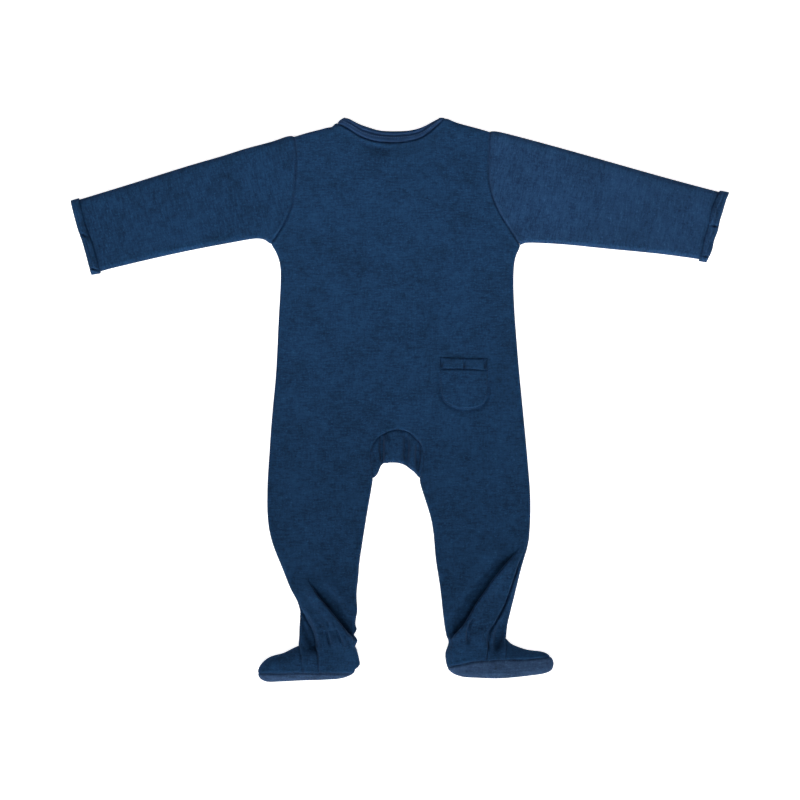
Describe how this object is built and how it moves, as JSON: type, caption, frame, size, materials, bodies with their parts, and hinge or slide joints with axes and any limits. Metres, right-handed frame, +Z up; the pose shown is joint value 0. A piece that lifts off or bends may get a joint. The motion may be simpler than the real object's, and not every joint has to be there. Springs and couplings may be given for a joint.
{
  "type": "baby's footed sleepsuit laid flat",
  "caption": "Long-sleeved one-piece pyjama with closed feet, laid flat with its back up, with a round neckband, turned cuffs, a seat pocket and a crotch gusset.",
  "frame": {"origin": "middle of the laid garment's footprint, on the surface it lies on", "axes": "+Z up from the surface, +Y towards the neck, +X towards the wearer's right sleeve"},
  "size_m": [0.6864, 0.5898, 0.0142],
  "materials": {
    "jersey": "matte navy cotton interlock knit",
    "band": "matte navy fine rib knit",
    "sole": "matte navy cotton interlock knit"
  },
  "bodies": {
    "root": {"back": "jersey", "front_left": "jersey", "front_right": "jersey", "front_placket": "jersey", "crotch_gusset": "jersey", "sleeve_left": "jersey", "sleeve_right": "jersey", "cuff_left": "jersey", "cuff_right": "jersey", "neckband": "band", "pocket": "jersey", "pocket_hem": "jersey", "toe_cap_left": "jersey", "toe_cap_right": "jersey", "sole_left": "sole", "sole_right": "sole"}
  },
  "joints": []
}
